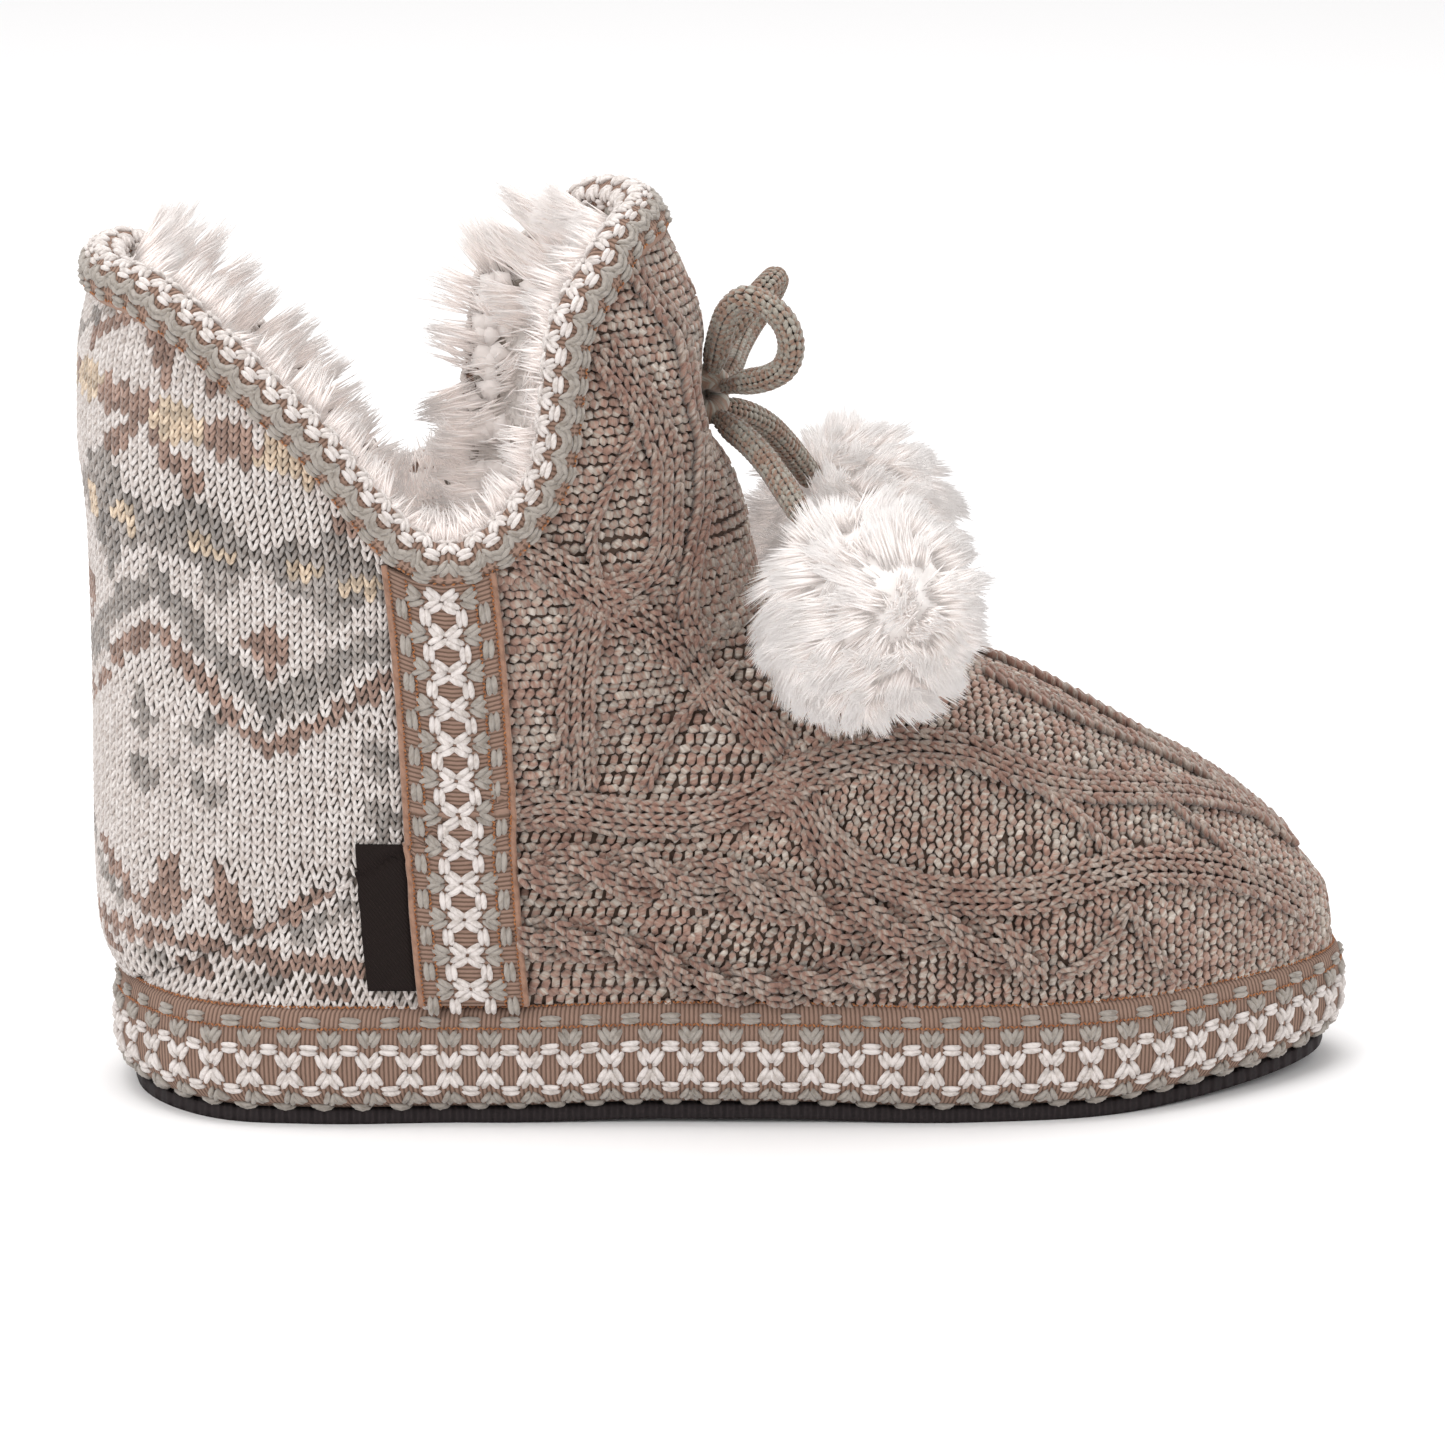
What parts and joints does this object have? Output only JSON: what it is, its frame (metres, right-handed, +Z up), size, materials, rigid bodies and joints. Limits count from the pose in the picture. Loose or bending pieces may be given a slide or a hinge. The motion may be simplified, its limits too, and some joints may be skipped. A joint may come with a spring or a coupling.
{
  "type": "knitted bootie slipper",
  "caption": "Knitted ankle bootie slipper for the right foot: fleece lined, with a high collar that dips at the sides, a braid-wrapped foam sole and a bow with pom-poms.",
  "frame": {"origin": "middle of the shoe's floor print, on the floor, measured without the tie and its pom-poms", "axes": "+X from heel to toe, +Y to the wearer's left, which is the medial side, +Z up"},
  "size_m": [0.2634, 0.1262, 0.1883],
  "materials": {
    "outsole": "matt ribbed rubber",
    "midsole": "jacquard braid wrapped over foam",
    "insole": "white sherpa fleece over foam",
    "upper": "cable and stockinette knit with a white fleece lining",
    "binding": "folded jacquard braid",
    "braid": "jacquard braid",
    "label": "plain dark woven tape, bare",
    "cord": "tubular knitted cord",
    "pompom": "white trimmed pile"
  },
  "bodies": {
    "root": {"outsole": "outsole", "midsole": "midsole", "insole": "insole", "upper": "upper", "collar_binding": "binding", "side_braid_lateral": "braid", "side_braid_medial": "braid", "label": "label", "tie_knot": "cord", "tie_loop_lateral": "cord", "tie_loop_medial": "cord", "tie_end_lateral": "cord", "tie_end_medial": "cord", "pompom_lateral": "pompom", "pompom_medial": "pompom"}
  },
  "joints": []
}
